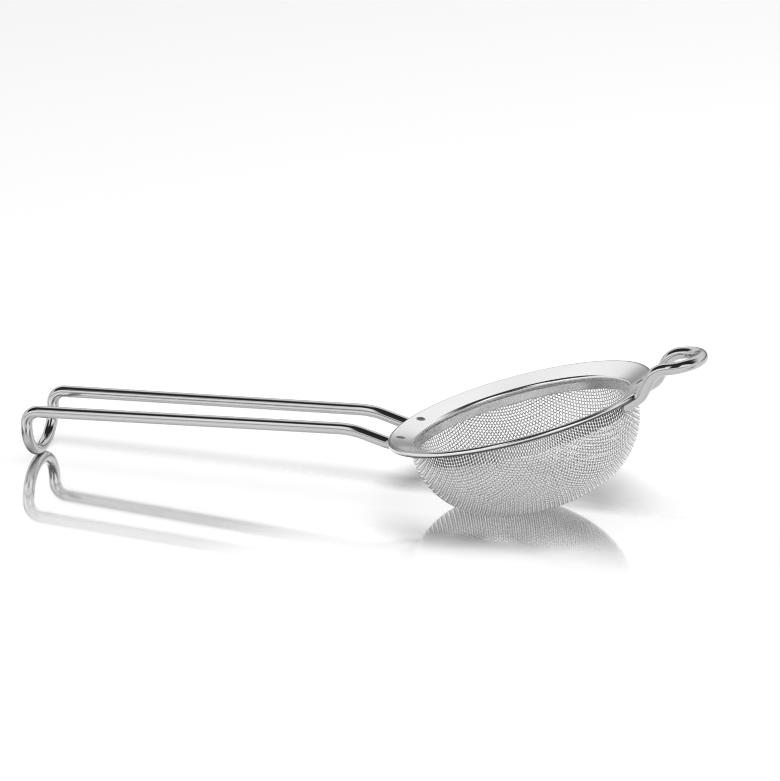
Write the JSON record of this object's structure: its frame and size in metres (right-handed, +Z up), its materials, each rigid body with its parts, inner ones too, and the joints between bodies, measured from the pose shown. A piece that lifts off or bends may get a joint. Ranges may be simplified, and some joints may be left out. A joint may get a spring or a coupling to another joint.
{
  "type": "tea strainer",
  "caption": "Handled tea strainer: a woven wire bowl in a wide stamped rim, with a bent wire handle and a wire hook that rests on a cup.",
  "frame": {"origin": "on the table under the middle of the resting object's length and width", "axes": "+X from the handle's end loop to the cup hook, +Z up, +Y to the left of someone looking along +X; the object rests on the bowl and on the end loop, with the rim tilted 15.9 degrees"},
  "size_m": [0.2372, 0.09, 0.0604],
  "materials": {
    "polished_sheet": "stamped stainless sheet, polished bright",
    "woven_mesh": "plain-woven fine stainless wire, bright as drawn",
    "drawn_wire": "round stainless wire, polished bright",
    "weld_metal": "resistance spot weld, bare"
  },
  "bodies": {
    "root": {"rim_ring": "polished_sheet", "mesh_bowl": "woven_mesh", "handle_wire": "drawn_wire", "cup_hook": "drawn_wire", "handle_weld_left": "weld_metal", "handle_weld_right": "weld_metal", "hook_weld_left": "weld_metal", "hook_weld_right": "weld_metal"}
  },
  "joints": []
}
